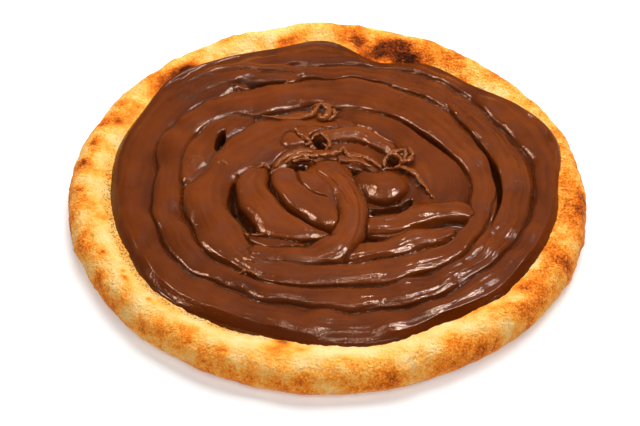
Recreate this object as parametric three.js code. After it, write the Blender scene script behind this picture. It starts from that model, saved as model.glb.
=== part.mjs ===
// Chocolate sfiha: a disc of flat bread with a raised crust, its well filled with a thick
// chocolate spread that a knife laid on in one spiral, from the middle outwards.
// Millimetres, +Z up. The bread rests on its flat underside at z = 0, and the origin is under
// the middle of its bounding box. Angles are in degrees, counterclockwise from +X.
import * as THREE from "three";

// ---- driving dimensions -----------------------------------------------------------------
// Bread
const CRUST_RADIUS = [      // outer edge, every 15 degrees
  69.0, 68.9, 68.4, 68.2, 68.8, 69.6, 69.4, 69.0, 69.2, 69.2, 69.8, 69.8,
  69.6, 69.3, 68.7, 69.0, 69.0, 69.2, 69.3, 69.0, 68.9, 69.1, 69.5, 69.3,
];
const RIM_HEIGHT = [        // top of the crust, every 30 degrees
  9.5, 9.5, 10.5, 11.6, 10.6, 9.6, 9.5, 9.3, 9.3, 9.2, 9.3, 9.4,
];
const FLOOR_HEIGHT = 5.0;   // bottom of the well
const BELLY_HEIGHT = 3.8;   // where the crust is widest
const FOOT_INSET = 4.0;     // from the widest line in to the flat underside
const RIM_INSET_SHARE = 0.46; // of the bare crust's width, from its edge in to its top
const RIM_INSET_LEAST = 3.4;
const WELL_SLOPE = 12;      // from the top of the crust in to the floor of the well

// Spread
const SPREAD_RADIUS = [     // outer edge, every 15 degrees
  62.0, 65.0, 62.4, 58.7, 58.6, 55.6, 60.6, 59.6, 61.0, 62.4, 60.2, 59.6,
  58.4, 58.0, 58.2, 59.2, 57.6, 56.6, 57.8, 58.8, 57.6, 60.0, 60.4, 61.4,
];
const MEAN_SPREAD_RADIUS = 60; // the rings of facets are circles of it, but for the outermost
const SPREAD_BASE = 7.0;    // height of the spread between the bands
const EDGE_THICKNESS = 1.9; // of the spread just inside its edge
const EDGE_ROUND = 2.6;     // width of the edge's rounding
const EDGE_BLEND = 7;       // width over which the edge meets the bands
const GAP = 0.3;            // clearance between spread and bread

// Facets
const SECTORS = 84;
const SPREAD_RINGS = 34;
const SLOPE_RINGS = 6;
const ROUND_RINGS = 4;

// ---- curves ---------------------------------------------------------------------------------
const radians = THREE.MathUtils.degToRad;

// Cubic through b and c with the slopes of their neighbours, f from 0 at b to 1 at c.
function blend(a, b, c, d, f) {
  return b + 0.5 * f * (c - a + f * (2 * a - 5 * b + 4 * c - d + f * (3 * (b - c) + d - a)));
}

// Smooth value of a closed ring of evenly spaced values, at an angle.
function ringValue(values, angle) {
  const n = values.length;
  const place = (((angle % 360) + 360) % 360) * n / 360;
  const i = Math.floor(place);
  const at = (k) => values[(k + n) % n];
  return blend(at(i - 1), at(i), at(i + 1), at(i + 2), place - i);
}

// Smooth value of an open row of evenly spaced values, at a share of its length.
function along(values, share) {
  const last = values.length - 1;
  const place = THREE.MathUtils.clamp(share, 0, 1) * last;
  const i = Math.min(Math.floor(place), last - 1);
  const before = i > 0 ? values[i - 1] : 2 * values[0] - values[1];
  const after = i + 2 <= last ? values[i + 2] : 2 * values[last] - values[last - 1];
  return blend(before, values[i], values[i + 1], after, place - i);
}

// ---- the bands of spread -----------------------------------------------------------------
// A band is what one pass of the knife leaves. It has a centre line, half widths and crest
// heights along it, and how far its sides drop. Later bands lie over earlier ones.
const POINTS_PER_STEP = 10;
const BAND_ROUND = 2.6;     // how square a band's section is: 2 is a round one

function band(centre, half, crest, drop = 3.4) {
  return { centre, half, crest, drop };
}

// A turn of the spiral: its radii at every 30 degrees from a start angle.
function turn(start, radii, half, crest) {
  const steps = (radii.length - 1) * POINTS_PER_STEP;
  const centre = [];
  for (let k = 0; k <= steps; k++) {
    const angle = radians(start + (30 * k) / POINTS_PER_STEP);
    const radius = along(radii, k / steps);
    centre.push([radius * Math.cos(angle), radius * Math.sin(angle)]);
  }
  return band(centre, half, crest);
}

// A free pass through a few points.
function pass(points, half, crest, drop) {
  const steps = (points.length - 1) * POINTS_PER_STEP;
  const centre = [];
  for (let k = 0; k <= steps; k++) {
    centre.push([0, 1].map((axis) => along(points.map((p) => p[axis]), k / steps)));
  }
  return band(centre, half, crest, drop);
}

const shelf = pass([[6, 28], [14, 24.5], [22, 18], [27.5, 9], [29.5, 0], [28, -6]],
  [4.5, 5.5, 6.5, 8, 9.5, 9], [8.8, 8.9, 9.1, 9.2, 9.0, 8.6], 2.2);
const innerTurn = turn(90,
  [23, 24.5, 26.8, 31.6, 34.8, 36.2, 35.3, 37.6, 40.6, 40.8, 38.4, 39.0],
  [4, 5.2, 6.4, 6.4, 5.4, 4.8, 5.2, 4.8, 2.3, 4.6, 6.2, 5.8],
  [9.6, 9.8, 10, 10, 10, 9.8, 9.8, 9.8, 9.4, 9.8, 10.2, 9.8]);
const middleTurn = turn(60,
  [39.0, 38.2, 40, 45.4, 42.6, 44.9, 44.2, 43.3, 45.9, 47.6, 49.7, 48.1],
  [5.8, 7.0, 6.4, 4.6, 4.6, 4.8, 3.9, 4.3, 5.3, 6.2, 5.2, 4.8],
  [9.8, 9.7, 9.6, 9.6, 9.5, 9.4, 9.3, 9.2, 9.4, 9.6, 9.8, 9.6]);
const outerStart = turn(0, [49.7, 48.1, 48.6, 47, 48], [5.2, 4.8, 4.4, 3.2, 3], [9.8, 9.6, 9.4, 9.3, 9.2]);
const outerTurn = turn(120,
  [54.5, 54.9, 52.6, 53.8, 52.7, 52.5, 54.3, 56.8, 58.4, 57.6, 56.2, 55.6, 55.5],
  [6.4, 6.2, 6.6, 5.4, 5.8, 6.2, 4.4, 4.4, 4.6, 5.8, 4.6, 5.6, 4.5],
  [9.3, 9.3, 9.2, 9.2, 9.2, 9.2, 9.3, 9.5, 9.6, 9.7, 9.6, 9.3, 9.2]);
const tongue = pass([[-11, 46.5], [-19, 47], [-27, 46.5], [-35, 45.5], [-41, 40]],
  [3.6, 4.4, 4.8, 4.8, 5], [10, 10, 9.8, 9.6, 9.4]);
const lobe = pass([[-18, 26], [-26, 24.5], [-32, 19], [-35.8, 11], [-36.8, 4], [-36, 0]],
  [2, 3.4, 5, 5.2, 3.6, 2.4], [9.3, 9.5, 9.7, 9.9, 9.9, 9.5]);
const hook = pass(
  [[-15, 9.5], [-19.2, 6.5], [-20, -2.2], [-17.4, -9.6], [-11.6, -15.6], [-3, -18.8], [2, -19.6]],
  [2.4, 3.6, 4.7, 5.7, 5.2, 3.5, 3], [9.8, 10.3, 10.6, 10.6, 10.4, 10.2, 10], 4);
const heart = pass([[-13, 8.5], [-11.8, 2.5], [-10, -3.5], [-6.5, -7.8], [-2.5, -11.6], [1.8, -16]],
  [2.2, 3.7, 4.4, 4.8, 4.2, 2.4], [10, 10.3, 10.3, 10.2, 10.1, 9.8]);
const heartFold = pass([[-7, 8], [-6.2, 4], [-4.6, 0], [-2.5, -3], [0, -6]],
  [1.6, 2.3, 2.6, 2.6, 2], [10.1, 10.5, 10.7, 10.6, 10.2], 2.4);
const upperRidge = pass(
  [[9, -17], [14.7, -16.4], [20, -14.6], [25.3, -12.6], [30.6, -11.2], [35, -12], [37.5, -15]],
  [3.8, 4.2, 4.3, 4.2, 3.8, 3.4, 2.4], [10, 10.2, 10.3, 10.3, 10.2, 10, 9.8]);
const lowerRidge = pass([[7, -26.5], [12.7, -25.6], [17.1, -24.1], [22.4, -21.9], [26.8, -19.8], [31, -18]],
  [3.4, 4, 4.2, 3.8, 3.2, 2.2], [9.9, 10.1, 10.2, 10.2, 10.1, 10]);
const collar = pass(
  [[-4.5, 8], [1.8, 3.4], [5.4, -6.5], [6, -16.5], [3, -24.8], [-5.5, -28.6], [-16.5, -27.2], [-21.5, -24.5]],
  [2, 3.8, 4, 4, 4.2, 3.5, 2.8, 1.8], [10.2, 11, 11.3, 11.2, 10.6, 9.9, 9.5, 9.2], 4);
const innerArch = pass([[-1, 14.6], [2, 15.2], [5.5, 15.2], [9.5, 14], [13, 11], [14.6, 8]],
  [2, 2.6, 3, 3, 2.6, 2], [9.2, 9.6, 9.7, 9.6, 9.4, 9], 2.6);
const arch = pass([[-3.4, 18], [0.6, 19], [4.7, 19], [8.8, 17.3], [12.5, 14.4], [15.4, 10.7]],
  [2.2, 2.9, 3, 2.9, 2.6, 1.8], [10.8, 11.6, 11.7, 11.6, 11.3, 10.6], 4);
const BANDS = [
  shelf, innerTurn, middleTurn, outerStart, tongue, outerTurn, lobe,
  hook, heart, heartFold, upperRidge, lowerRidge, collar, innerArch, arch,
];

// Slots that the knife tore open and bumps that it left: middle, half length, half width,
// the direction of the length, and the height that each adds.
const BUMPS = [
  { at: [44.6, 4], length: 7, width: 1.2, angle: 93, rise: -2.0 },
  { at: [26, 18.6], length: 9, width: 1.1, angle: -43, rise: -2.2 },
  { at: [-25.2, -13], length: 5.5, width: 1.7, angle: -62, rise: -3.4 },
  { at: [-28.6, 15.2], length: 4.2, width: 1.1, angle: 82, rise: -3.4 },
  { at: [-21, 42], length: 9, width: 1.2, angle: 3, rise: -2.4 },
  { at: [17, -7.2], length: 4.2, width: 1.3, angle: 5, rise: -3.2 },
  { at: [-4.5, -14.2], length: 7.5, width: 0.8, angle: -33, rise: -2.2 },
  { at: [-2.4, 14.3], length: 2.2, width: 1.3, angle: -40, rise: -2.5 },
  { at: [15.4, -1.5], length: 5.2, width: 4.2, angle: 0, rise: 2.6 },
  { at: [-10.6, 15.2], length: 3.2, width: 2.0, angle: 15, rise: 1.0 },
];

// Nearest point of a band's centre line: its distance, and its share of the line's length.
function nearest(centre, x, y) {
  let distance = Infinity;
  let share = 0;
  for (let i = 0; i + 1 < centre.length; i++) {
    const [ax, ay] = centre[i];
    const dx = centre[i + 1][0] - ax;
    const dy = centre[i + 1][1] - ay;
    const f = THREE.MathUtils.clamp(((x - ax) * dx + (y - ay) * dy) / (dx * dx + dy * dy), 0, 1);
    const d = Math.hypot(x - ax - f * dx, y - ay - f * dy);
    if (d < distance) {
      distance = d;
      share = (i + f) / (centre.length - 1);
    }
  }
  return { distance, share };
}

// Height of a band over a point. Beside the band it goes on down, under what lies there.
function bandHeight({ centre, half, crest, drop }, x, y) {
  const { distance, share } = nearest(centre, x, y);
  const v = distance / along(half, share);
  return along(crest, share) - drop * v ** BAND_ROUND;
}

function spreadHeight(x, y) {
  let z = Math.max(SPREAD_BASE, ...BANDS.map((each) => bandHeight(each, x, y)));
  for (const { at, length, width, angle, rise } of BUMPS) {
    const c = Math.cos(radians(angle));
    const s = Math.sin(radians(angle));
    const u = ((x - at[0]) * c + (y - at[1]) * s) / length;
    const v = ((y - at[1]) * c - (x - at[0]) * s) / width;
    z += rise * Math.exp(-(u * u + v * v));
  }
  return z;
}

// ---- the bread -----------------------------------------------------------------------------
// Where the crust is highest at an angle, and where its edge is.
function crustAt(angle) {
  const edge = ringValue(CRUST_RADIUS, angle);
  const bare = edge - ringValue(SPREAD_RADIUS, angle);
  const crest = edge - Math.max(RIM_INSET_LEAST, RIM_INSET_SHARE * bare);
  return { edge, crest, height: ringValue(RIM_HEIGHT, angle) };
}

// Height of the bread's top inside the crest, at an angle and radius.
function wellHeight(angle, radius) {
  const { crest, height } = crustAt(angle);
  const f = THREE.MathUtils.clamp((radius - crest + WELL_SLOPE) / WELL_SLOPE, 0, 1);
  return FLOOR_HEIGHT + (height - FLOOR_HEIGHT) * f * f * (3 - 2 * f);
}

// The crust's section from the underside round the edge and down into the well.
function breadSection(angle) {
  const { edge, crest, height } = crustAt(angle);
  const section = [];
  for (let k = 0; k <= ROUND_RINGS; k++) {
    const q = radians((90 * k) / ROUND_RINGS);
    section.push([edge - FOOT_INSET * (1 - Math.sin(q)), BELLY_HEIGHT * (1 - Math.cos(q))]);
  }
  for (let k = 1; k <= ROUND_RINGS; k++) {
    const q = radians((90 * k) / ROUND_RINGS);
    section.push([crest + (edge - crest) * Math.cos(q), BELLY_HEIGHT + (height - BELLY_HEIGHT) * Math.sin(q)]);
  }
  for (let k = 1; k <= SLOPE_RINGS; k++) {
    const radius = crest - (WELL_SLOPE * k) / SLOPE_RINGS;
    section.push([radius, wellHeight(angle, radius)]);
  }
  return section;
}

// ---- the spread ----------------------------------------------------------------------------
// The spread's top: the bands, tapered to a rounded edge on the crust.
function spreadTop(angle, radius) {
  const inside = ringValue(SPREAD_RADIUS, angle) - radius;
  const under = wellHeight(angle, radius) + GAP;
  const bands = Math.max(spreadHeight(radius * Math.cos(radians(angle)), radius * Math.sin(radians(angle))),
    under + 0.7);
  if (inside >= EDGE_BLEND) return bands;
  const f = THREE.MathUtils.clamp(inside / EDGE_BLEND, 0, 1);
  const lip = under + EDGE_THICKNESS;
  const full = lip + (bands - lip) * f * f * (3 - 2 * f);
  const round = Math.sqrt(1 - (1 - Math.min(inside / EDGE_ROUND, 1)) ** 2.4);
  return under + (full - under) * round;
}

// From the middle of the underside out to the edge, and back in over the top. The underside
// follows the bread's facets ring by ring.
function spreadSection(angle) {
  const edge = ringValue(SPREAD_RADIUS, angle);
  const { crest } = crustAt(angle);
  const section = [];
  for (let k = SLOPE_RINGS; k >= 0; k--) {
    const radius = crest - (WELL_SLOPE * k) / SLOPE_RINGS;
    if (radius < edge - 0.5) section.push([radius, wellHeight(angle, radius) + GAP]);
  }
  while (section.length < SLOPE_RINGS + 1) {
    const [lastRadius] = section[section.length - 1];
    const radius = (lastRadius + edge) / 2;
    section.push([radius, wellHeight(angle, radius) + GAP]);
  }
  for (let k = 0; k < SPREAD_RINGS; k++) {
    const t = 1 - k / SPREAD_RINGS;
    const radius = MEAN_SPREAD_RADIUS * t + (edge - MEAN_SPREAD_RADIUS) * t ** 4;
    section.push([radius, spreadTop(angle, radius)]);
  }
  return section;
}

// ---- solids ------------------------------------------------------------------------------
// A closed body from one section for each sector, each section running from below the middle,
// out, and back in over the top. The first and last heights are the middle's.
function roundSolid(sectionAt, bottomMiddle, topMiddle) {
  const sections = [];
  for (let j = 0; j < SECTORS; j++) sections.push(sectionAt((360 * j) / SECTORS));
  const rows = sections[0].length;
  const position = [];
  sections.forEach((section, j) => {
    const angle = radians((360 * j) / SECTORS);
    section.forEach(([radius, z]) => position.push(radius * Math.cos(angle), radius * Math.sin(angle), z));
  });
  const bottom = SECTORS * rows;
  const top = bottom + 1;
  position.push(0, 0, bottomMiddle, 0, 0, topMiddle);
  const index = [];
  for (let j = 0; j < SECTORS; j++) {
    const here = j * rows;
    const next = ((j + 1) % SECTORS) * rows;
    index.push(bottom, next, here);
    index.push(top, here + rows - 1, next + rows - 1);
    for (let i = 0; i + 1 < rows; i++) {
      index.push(here + i, next + i, here + i + 1, next + i, next + i + 1, here + i + 1);
    }
  }
  const geometry = new THREE.BufferGeometry();
  geometry.setAttribute("position", new THREE.Float32BufferAttribute(position, 3));
  geometry.setIndex(index);
  geometry.computeVertexNormals();
  return geometry;
}

function bread() {
  const geometry = roundSolid(breadSection, 0, FLOOR_HEIGHT);
  const material = new THREE.MeshStandardMaterial({ color: 0xe9b877, roughness: 0.85, metalness: 0 });
  const mesh = new THREE.Mesh(geometry, material);
  mesh.name = "bread";
  return mesh;
}

function chocolateSpread() {
  const geometry = roundSolid(spreadSection, FLOOR_HEIGHT + GAP, spreadHeight(0, 0));
  const material = new THREE.MeshStandardMaterial({ color: 0x6b3415, roughness: 0.3, metalness: 0 });
  const mesh = new THREE.Mesh(geometry, material);
  mesh.name = "chocolate_spread";
  return mesh;
}

const sfiha = new THREE.Group();
sfiha.add(bread(), chocolateSpread());

export default sfiha;
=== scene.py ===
import math

import bpy
import numpy as np
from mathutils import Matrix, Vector


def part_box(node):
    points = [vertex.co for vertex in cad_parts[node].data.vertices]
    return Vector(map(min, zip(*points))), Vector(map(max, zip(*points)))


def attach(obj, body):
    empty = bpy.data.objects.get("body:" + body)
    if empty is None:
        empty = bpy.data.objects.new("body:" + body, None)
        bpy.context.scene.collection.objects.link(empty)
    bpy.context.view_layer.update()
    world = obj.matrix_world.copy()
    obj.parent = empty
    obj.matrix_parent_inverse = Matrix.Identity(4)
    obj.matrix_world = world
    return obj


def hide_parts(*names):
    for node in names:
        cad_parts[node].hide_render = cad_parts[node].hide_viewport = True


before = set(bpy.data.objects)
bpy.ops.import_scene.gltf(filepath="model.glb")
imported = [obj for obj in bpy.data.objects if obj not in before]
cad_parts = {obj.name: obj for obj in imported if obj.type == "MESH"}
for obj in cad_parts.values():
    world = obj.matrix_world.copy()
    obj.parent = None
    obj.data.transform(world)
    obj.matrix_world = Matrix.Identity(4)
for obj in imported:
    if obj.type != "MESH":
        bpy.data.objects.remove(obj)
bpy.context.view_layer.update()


# ---- The bread ---------------------------------------------------------------------------
# A disc of yeast dough, pressed thin in the middle so that its edge stands up as a crust,
# and baked on a floured stone: pale where the rim leans in, toasted outside, burnt at the
# back. It is one sheet of faces rolled round its middle, then roughened like baked dough.
bread_low, bread_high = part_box("bread")
mm = (bread_high[0] - bread_low[0]) / 138.6        # one millimetre, measured on the bread
crust_radius = [                                   # outer edge, every 15 degrees
    69.0, 68.9, 68.4, 68.2, 68.8, 69.6, 69.4, 69.0, 69.2, 69.2, 69.8, 69.8,
    69.6, 69.3, 68.7, 69.0, 69.0, 69.2, 69.3, 69.0, 68.9, 69.1, 69.5, 69.3]
spread_radius = [                                  # where the spread ends, every 15 degrees
    62.0, 65.0, 62.4, 58.7, 58.6, 55.6, 60.6, 59.6, 61.0, 62.4, 60.2, 59.6,
    58.4, 58.0, 58.2, 59.2, 57.6, 56.6, 57.8, 58.8, 57.6, 60.0, 60.4, 61.4]
rim_height = [9.5, 9.5, 10.5, 11.4, 10.6, 9.6, 9.5, 9.3, 9.3, 9.2, 9.3, 9.4]
floor_height = 5.0         # top of the thin middle
belly_height = 3.8         # where the outer wall stands out farthest
foot_inset = 4.0           # how far the flat underside ends in from there
rim_inset_share = 0.46     # how far in the crest is, as a share of the rim's bare width
rim_inset_least = 3.4      # and at least this far
well_slope = 12.0          # width of the slope from the crest down to the thin middle


def ring_value(values, angle):
    """Smooth value, at angles in degrees, of evenly spaced values round a ring."""
    ring = np.asarray(values, float)
    place = (np.asarray(angle, float) % 360) * len(ring) / 360
    start = np.floor(place).astype(int)
    f = place - start
    a, b, c, d = (ring[(start + k) % len(ring)] for k in (-1, 0, 1, 2))
    return b + 0.5 * f * (c - a + f * (2 * a - 5 * b + 4 * c - d + f * (3 * (b - c) + d - a)))


def crust_at(angle):
    """Edge, crest and height of the crust at angles, in millimetres."""
    edge = ring_value(crust_radius, angle)
    bare = edge - ring_value(spread_radius, angle)
    crest = edge - np.maximum(rim_inset_least, rim_inset_share * bare)
    return edge, crest, ring_value(rim_height, angle)


def well_height(angle, radius):
    """Height of the bread's top inside the crest, in millimetres."""
    edge, crest, height = crust_at(angle)
    f = np.clip((radius - crest + well_slope) / well_slope, 0, 1)
    return floor_height + (height - floor_height) * f * f * (3 - 2 * f)


def round_body(name, columns, rows, place):
    """A sheet of squares rolled round the middle, closed along its seam and at both poles.

    place(angle, row) gives radius and height in millimetres, row running from 0 at the
    middle of the underside, round the edge, to 1 at the middle of the top.
    """
    bpy.ops.object.select_all(action="DESELECT")
    bpy.ops.mesh.primitive_grid_add(x_subdivisions=columns, y_subdivisions=rows, size=2)
    body = bpy.context.object
    body.name = name
    body.data.name = name
    flat = np.empty(len(body.data.vertices) * 3)
    body.data.vertices.foreach_get("co", flat)
    flat = flat.reshape(-1, 3)
    angle = 180 * (flat[:, 0] + 1)
    radius, height = place(angle, (flat[:, 1] + 1) / 2)
    turn = np.radians(angle)
    rolled = np.column_stack([radius * np.cos(turn), radius * np.sin(turn), height]) * mm
    body.data.vertices.foreach_set("co", rolled.ravel())
    bpy.ops.object.mode_set(mode="EDIT")
    bpy.ops.mesh.select_all(action="SELECT")
    bpy.ops.mesh.remove_doubles(threshold=0.0005 * mm)
    bpy.ops.mesh.normals_make_consistent(inside=False)
    bpy.ops.object.mode_set(mode="OBJECT")
    bpy.ops.object.shade_smooth()
    return body


def places(body):
    """Vertex places of a body in millimetres."""
    flat = np.empty(len(body.data.vertices) * 3)
    body.data.vertices.foreach_get("co", flat)
    return flat.reshape(-1, 3) / mm


def bread_section(angle, row):
    """Underside, foot, belly, crest, slope and floor, one stretch of rows after another."""
    edge, crest, height = crust_at(angle)
    stops = [0, 0.05, 0.17, 0.50, 0.90, 1.0]
    part = [np.clip((row - a) / (b - a), 0, 1) for a, b in zip(stops, stops[1:])]
    foot = np.pi / 2 * part[1]
    over = np.pi / 2 * part[2]
    radius = (edge - foot_inset) * part[0] + foot_inset * np.sin(foot)
    radius -= (edge - crest) * (1 - np.cos(over))
    radius -= well_slope * part[3]
    radius -= (crest - well_slope) * part[4]
    up = belly_height * (1 - np.cos(foot)) + (height - belly_height) * np.sin(over)
    return radius, np.where(part[3] > 0, well_height(angle, radius), up)


def displaced(body, name, kind, size, strength, group="", **settings):
    """Push a body's surface in and out by a procedural texture, size and strength in mm."""
    texture = bpy.data.textures.new(name, kind)
    texture.noise_scale = size * mm
    for key, value in settings.items():
        setattr(texture, key, value)
    push = body.modifiers.new(name, "DISPLACE")
    push.texture = texture
    push.strength = strength * mm
    push.mid_level = 0.5
    push.texture_coords = "LOCAL"
    push.vertex_group = group
    bpy.context.view_layer.objects.active = body
    bpy.ops.object.modifier_apply(modifier=push.name)


bread = round_body("sfiha_bread", 700, 110, bread_section)
rough = bread.vertex_groups.new(name="rough")
for vertex in bread.data.vertices:
    lift = min(max(vertex.co.z / (3 * mm), 0), 1)
    if lift > 0:
        rough.add([vertex.index], lift, "REPLACE")
displaced(bread, "dough_waves", "CLOUDS", 11, 1.2, "rough", noise_depth=1)
displaced(bread, "dough_blisters", "CLOUDS", 3.2, 0.8, "rough", noise_depth=2)
displaced(bread, "dough_grain", "CLOUDS", 0.9, 0.36, "rough", noise_depth=1)

# How far the dough is baked, from 0, pale, to 1, burnt: three rings of values, every 30
# degrees, for the rim's inner flank, its crest and its outer wall. Scorched spots come on top.
flank_bake = [0.54, 0.32, 0.40, 0.16, 0.18, 0.26, 0.24, 0.20, 0.16, 0.13, 0.20, 0.40]
crest_bake = [0.56, 0.44, 0.43, 0.25, 0.29, 0.36, 0.37, 0.32, 0.24, 0.22, 0.32, 0.50]
wall_bake = [0.48, 0.52, 0.48, 0.38, 0.40, 0.42, 0.43, 0.45, 0.44, 0.45, 0.46, 0.45]
soot_and_edge_shade_ring = [0, 0, 0, 0, 0, 0.15, 0.9, 1, 0.9, 0.3, 0, 0]     # sooty flour specks, and a painted shade, by the spread
# angle, radius, half width along the rim, half width across it, and how much darker
bake_spots = [
    (70, 58.0, 11, 6.0, 0.58), (73, 61.0, 16, 7.0, 0.12), (64, 58.5, 5, 3.4, 0.24),
    (82, 64, 2.8, 5.0, 0.24), (102, 60.8, 4.5, 2.0, 0.55), (130, 61.5, 5, 3, 0.72),
    (139, 62, 6.5, 3.8, 0.76), (157, 63, 2.4, 2.2, 0.60), (166, 66, 3, 1.6, 0.46),
    (173, 66.5, 2.5, 1.4, 0.36), (183, 66, 1.6, 2.0, 0.45), (215, 63, 1.6, 0.9, 0.60),
    (212.5, 62, 0.8, 1.0, 0.55), (205, 63.8, 0.9, 1.2, 0.5), (224, 62.6, 1.1, 0.8, 0.55),
    (258.5, 57.5, 2.6, 1.6, 0.65), (331, 64, 5, 3, 0.1), (318, 66, 5, 3, 0.12),
    (350, 64, 3, 2, 0.1)]
where = places(bread)
angle = np.degrees(np.arctan2(where[:, 1], where[:, 0]))
radius = np.hypot(where[:, 0], where[:, 1])
edge, crest, height = crust_at(angle)
above = where[:, 2] > belly_height
outside = np.where(above, np.clip((radius - crest) / (edge - crest), 0, 1), 1)
inside = np.clip((crest - radius) / 3, 0, 1)
bake = ring_value(crest_bake, angle)
bake += (ring_value(flank_bake, angle) - bake) * inside
bake += (ring_value(wall_bake, angle) - bake) * outside ** 1.6
scorch = np.zeros(len(where))
for spot_angle, spot_radius, along_rim, across_rim, amount in bake_spots:
    away = (angle - spot_angle + 180) % 360 - 180
    u = np.radians(away) * spot_radius / along_rim
    v = (radius - spot_radius) / across_rim
    scorch += amount * np.exp(-(u * u + v * v)) * above
from_spread = radius - ring_value(spread_radius, angle)
smear_and_pocket_shade = np.clip((-4 - from_spread) / 3, 0, 1) * above        # smeared with the spread's fat, and painted darker as shade in the bared pockets
soot_and_edge_shade = ring_value(soot_and_edge_shade_ring, angle) * np.exp(-((from_spread - 0.6) / 1.7) ** 2)
foot = np.clip(1.2 - where[:, 2] / 3.2, 0, 1) * (radius > 60)


def mark(body, name, values):
    """Give every vertex of a body a number from 0 to 1, for its material to read."""
    made = body.data.attributes.new(name, "FLOAT", "POINT")
    made.data.foreach_set("value", np.clip(values, 0, 1))


for name, values in (("foot", foot), ("soot_and_edge_shade", soot_and_edge_shade), ("smear_and_pocket_shade", smear_and_pocket_shade), ("scorch", scorch),
                     ("bake", bake)):
    mark(bread, name, values)


def material(name, **values):
    """A Principled material whose even values sit on the shader itself."""
    made = bpy.data.materials.new(name)
    made.use_nodes = True
    shader = made.node_tree.nodes["Principled BSDF"]
    for key, value in values.items():
        shader.inputs[key.replace("_", " ")].default_value = value
    return made, made.node_tree, shader


def node(tree, kind, inputs=(), **settings):
    """A node with settings, and with inputs linked to sockets or set to values by name or place."""
    made = tree.nodes.new(kind)
    for key, value in settings.items():
        setattr(made, key, value)
    for key, value in dict(inputs).items():
        if isinstance(value, bpy.types.NodeSocket):
            tree.links.new(value, made.inputs[key])
        else:
            made.inputs[key].default_value = value
    return made


def maths(tree, operation, a, b):
    """One sum on two numbers or sockets."""
    return node(tree, "ShaderNodeMath", {0: a, 1: b}, operation=operation).outputs[0]


def product(tree, a, b):
    """Two numbers or sockets multiplied."""
    return maths(tree, "MULTIPLY", a, b)


def total(tree, *parts):
    """Numbers or sockets added up."""
    whole = parts[0]
    for part in parts[1:]:
        whole = maths(tree, "ADD", whole, part)
    return whole


def marked(tree, name):
    """The number that mark gave each vertex."""
    return node(tree, "ShaderNodeAttribute", attribute_name=name).outputs["Fac"]


def ranged(tree, value, start, end, most=1.0):
    """A number that goes from 0 where value is at start to most where it is at end."""
    limits = {"Value": value, "From Min": start, "From Max": end, "To Max": most}
    return node(tree, "ShaderNodeMapRange", limits).outputs[0]


def mixed(tree, share, a, b):
    """Colour a, with a share of colour b over it."""
    colours = {"Factor": share, "A": a, "B": b}
    return node(tree, "ShaderNodeMix", colours, data_type="RGBA").outputs["Result"]


def ramp(tree, factor, stops):
    """A colour ramp of (place, colour) stops."""
    made = node(tree, "ShaderNodeValToRGB", {0: factor})
    steps = made.color_ramp.elements
    while len(steps) < len(stops):
        steps.new(0.5)
    for step, (place, colour) in zip(steps, stops):
        step.position = place
        step.color = (*colour, 1)
    return made.outputs[0]


# Noise of one size, centred on nothing and scaled: what both foods' surfaces are uneven by.
uneven = bpy.data.node_groups.new("uneven", "ShaderNodeTree")
uneven.interface.new_socket("Place", in_out="INPUT", socket_type="NodeSocketVector")
for name, value in (("Size", 0.001), ("Detail", 2.0), ("Amount", 1.0)):
    socket = uneven.interface.new_socket(name, in_out="INPUT", socket_type="NodeSocketFloat")
    socket.default_value = value
uneven.interface.new_socket("Value", in_out="OUTPUT", socket_type="NodeSocketFloat")
given = uneven.nodes.new("NodeGroupInput")
scale = maths(uneven, "DIVIDE", 1.0, given.outputs["Size"])
noise = node(uneven, "ShaderNodeTexNoise",
             {"Vector": given.outputs["Place"], "Scale": scale, "Detail": given.outputs["Detail"],
              "Roughness": 0.55})
centred = maths(uneven, "SUBTRACT", noise.outputs["Fac"], 0.5)
node(uneven, "NodeGroupOutput", {"Value": product(uneven, centred, given.outputs["Amount"])})


def unevenness(tree, place, size, amount, detail=2.0):
    """The uneven group at work in a material, size in millimetres."""
    made = node(tree, "ShaderNodeGroup", node_tree=uneven)
    tree.links.new(place, made.inputs["Place"])
    made.inputs["Size"].default_value = size * mm
    made.inputs["Amount"].default_value = amount
    made.inputs["Detail"].default_value = detail
    return made.outputs["Value"]


crust_stops = [
    (0.00, (0.93, 0.64, 0.28)), (0.18, (0.97, 0.56, 0.18)), (0.34, (1.0, 0.44, 0.07)),
    (0.50, (0.95, 0.27, 0.018)), (0.66, (0.70, 0.14, 0.007)), (0.82, (0.30, 0.05, 0.004)),
    (1.00, (0.055, 0.010, 0.002))]
crust, tree, shader = material("baked_crust", Roughness=0.6, Specular_IOR_Level=0.05)
place = node(tree, "ShaderNodeTexCoord").outputs["Object"]
baked = marked(tree, "bake")
scorched = marked(tree, "scorch")
soot_and_edge_shade_mask = marked(tree, "soot_and_edge_shade")
patches = unevenness(tree, place, 7, 1.2, 1)
weight = product(tree, baked, 0.9)
toasted = maths(tree, "MINIMUM", total(tree, weight, 0.06), maths(tree, "SUBTRACT", 1.0, weight))
freckles = product(tree, unevenness(tree, place, 1.4, 1.1, 2), toasted)
grains = product(tree, unevenness(tree, place, 0.55, 1.3, 1), toasted)
charred = total(tree, scorched, unevenness(tree, place, 3.2, 0.65, 3))
burnt = total(tree, ranged(tree, charred, 0.28, 0.96, 0.44), product(tree, scorched, 0.56))
tone = total(tree, baked, patches, freckles, grains, burnt)
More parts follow.
